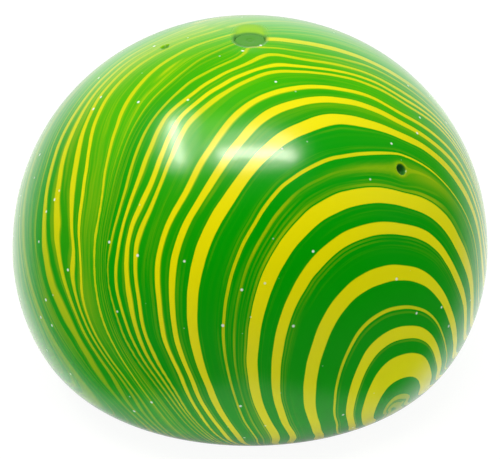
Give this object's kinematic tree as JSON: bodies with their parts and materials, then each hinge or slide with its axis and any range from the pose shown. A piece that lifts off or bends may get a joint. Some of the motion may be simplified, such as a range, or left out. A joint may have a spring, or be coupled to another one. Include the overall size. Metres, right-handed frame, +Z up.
{
  "type": "squishy ball",
  "caption": "Soft round squeeze ball that lies sagged on a table: a marbled moulded rubber skin over a gel filling, closed at the crown by a glued push-in plug.",
  "frame": {"origin": "middle of the flat foot that the sagged ball rests on", "axes": "+Z up through the crown and the fill plug, the ball's shortest extent; -Y towards the viewer of the picture; +X to the viewer's right"},
  "size_m": [0.074, 0.074, 0.0559],
  "materials": {
    "marbled_rubber": "gloss",
    "soft_gel": "gloss",
    "plug_rubber": "satin",
    "clear_glue": "gloss"
  },
  "bodies": {
    "ball": {"marbled_skin": "marbled_rubber", "gel_filling": "soft_gel"},
    "crown": {"fill_plug": "plug_rubber", "plug_glue_ring": "clear_glue"}
  },
  "joints": [
    {"name": "squeeze", "type": "slide", "parent": "ball", "child": "crown", "axis": [0, 0, -1], "range_m": [0, 0.019], "stiffness_N_per_m": 1000, "deforming": ["marbled_skin", "gel_filling"]}
  ]
}
